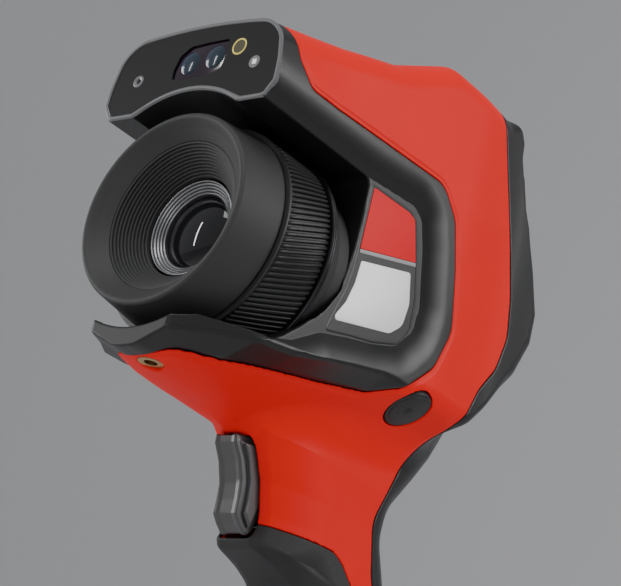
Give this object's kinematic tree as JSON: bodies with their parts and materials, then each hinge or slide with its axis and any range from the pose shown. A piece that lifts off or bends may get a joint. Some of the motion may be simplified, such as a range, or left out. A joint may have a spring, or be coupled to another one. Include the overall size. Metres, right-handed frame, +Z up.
{
  "type": "thermal imaging camera",
  "caption": "Pistol-grip thermal imaging camera with a guarded focusing lens, visor optics, rear display, trigger and slide-out battery.",
  "frame": {"origin": "mouth of the tripod thread under the front of the housing", "axes": "+X to the right seen from the front, +Y from the lens to the display, +Z up; the lens axis runs along Y"},
  "size_m": [0.089, 0.1897, 0.2884],
  "materials": {
    "red_plastic": "satin moulded red",
    "black_plastic": "fine textured black",
    "grip_rubber": "soft matte",
    "gloss_black": "polished",
    "optic_glass": "coated glass",
    "module_plastic": "moulded",
    "lamp_white": "small lamp",
    "hood_plastic": "fine matte",
    "lens_metal": "black anodised",
    "ring_rubber": "ribbed",
    "steel": "bright",
    "brass": "machined",
    "label_silver": "blank satin label",
    "key_rubber": "silicone",
    "display": "off",
    "board_green": "circuit board",
    "alloy": "plain"
  },
  "bodies": {
    "housing": {"front_shell": "red_plastic", "rear_shell": "black_plastic", "bumper_frame": "black_plastic", "grip_rubber": "grip_rubber", "visor_window": "gloss_black", "optics_window": "optic_glass", "camera_module": "module_plastic", "camera_lens": "optic_glass", "range_finder_module": "module_plastic", "range_finder_lens": "optic_glass", "laser_pointer": "lamp_white", "lamp": "lamp_white", "lamp_board": "board_green", "lens_hood": "hood_plastic", "hood_baffle": "hood_plastic", "lens_barrel": "lens_metal", "lens_flange": "lens_metal", "lens_mount": "lens_metal", "mount_seal": "ring_rubber", "trigger_pin": "steel", "trigger_bracket": "module_plastic", "trigger_switch": "module_plastic", "trigger_spring": "steel", "tripod_insert": "brass", "badge_right": "red_plastic", "badge_left": "red_plastic", "label_plate": "label_silver", "socket_plug_right": "black_plastic", "socket_plug_left": "black_plastic", "cover_glass": "gloss_black", "display_panel": "display", "key_mat": "key_rubber", "image_board": "board_green", "power_board": "board_green", "chassis": "alloy", "detector": "module_plastic", "shutter_motor": "steel", "heat_spreader": "alloy", "speaker": "module_plastic", "antenna": "board_green", "battery_sleeve": "black_plastic", "contact_block": "module_plastic", "port_block": "module_plastic", "shell_screws": "steel"},
    "focus_ring": {"focus_ring": "ring_rubber"},
    "focus_group": {"focus_cell": "lens_metal", "front_element": "optic_glass", "rear_element": "optic_glass", "retaining_ring": "lens_metal"},
    "trigger": {"trigger": "black_plastic"},
    "shutter": {"shutter_blade": "steel"},
    "back_key": {"back_key": "key_rubber"},
    "power_key": {"power_key": "key_rubber"},
    "gallery_key": {"gallery_key": "key_rubber"},
    "nav_key": {"nav_key": "key_rubber"},
    "ok_key": {"ok_key": "key_rubber"},
    "battery": {"battery": "black_plastic"},
    "battery_latch_right": {"battery_latch_right": "black_plastic"},
    "battery_latch_left": {"battery_latch_left": "black_plastic"},
    "port_cover": {"port_cover": "grip_rubber"}
  },
  "joints": [
    {"name": "focus_turn", "type": "hinge", "parent": "housing", "child": "focus_ring", "pos_m": [0, 0.0185, 0.0549], "axis": [0, 1, 0], "range_deg": [0, 120]},
    {"name": "focus_slide", "type": "slide", "parent": "housing", "child": "focus_group", "axis": [0, -1, 0], "range_m": [0, 0.0025]},
    {"name": "trigger_pull", "type": "hinge", "parent": "housing", "child": "trigger", "pos_m": [0, 0.0645, -0.0076], "axis": [1, 0, 0], "range_deg": [0, 8], "stiffness_Nm_per_rad": 0.6, "springref_deg": -1.72},
    {"name": "shutter_swing", "type": "hinge", "parent": "housing", "child": "shutter", "pos_m": [0, 0.0588, 0.0779], "axis": [0, 1, 0], "range_deg": [0, 55]},
    {"name": "back_key_press", "type": "slide", "parent": "housing", "child": "back_key", "axis": [0, -0.9135, -0.4067], "range_m": [0, 0.0008], "stiffness_N_per_m": 900, "springref_m": -0.0002},
    {"name": "power_key_press", "type": "slide", "parent": "housing", "child": "power_key", "axis": [0, -0.9135, -0.4067], "range_m": [0, 0.0008], "stiffness_N_per_m": 900, "springref_m": -0.0002},
    {"name": "gallery_key_press", "type": "slide", "parent": "housing", "child": "gallery_key", "axis": [0, -0.9135, -0.4067], "range_m": [0, 0.0008], "stiffness_N_per_m": 900, "springref_m": -0.0002},
    {"name": "nav_key_press", "type": "slide", "parent": "housing", "child": "nav_key", "axis": [0, -0.9455, 0.3256], "range_m": [0, 0.0007], "stiffness_N_per_m": 900, "springref_m": -0.0002},
    {"name": "ok_key_press", "type": "slide", "parent": "housing", "child": "ok_key", "axis": [0, -0.9455, 0.3256], "range_m": [0, 0.0007], "stiffness_N_per_m": 900, "springref_m": -0.0002},
    {"name": "battery_slide", "type": "slide", "parent": "housing", "child": "battery", "axis": [0, 0.3907, -0.9205], "range_m": [0, 0.09]},
    {"name": "latch_right_press", "type": "slide", "parent": "battery", "child": "battery_latch_right", "axis": [-1, 0, 0], "range_m": [0, 0.0015], "stiffness_N_per_m": 900, "springref_m": -0.0003},
    {"name": "latch_left_press", "type": "slide", "parent": "battery", "child": "battery_latch_left", "axis": [1, 0, 0], "range_m": [0, 0.0015], "stiffness_N_per_m": 900, "springref_m": -0.0003},
    {"name": "port_cover_swing", "type": "hinge", "parent": "housing", "child": "port_cover", "pos_m": [-0.0425, 0.1161, 0.0949], "axis": [0, 0, 1], "range_deg": [0, 95]}
  ],
  "couplings": [
    {"joint": "focus_slide", "follows": "focus_turn", "m_per_rad": 0.0011925}
  ]
}
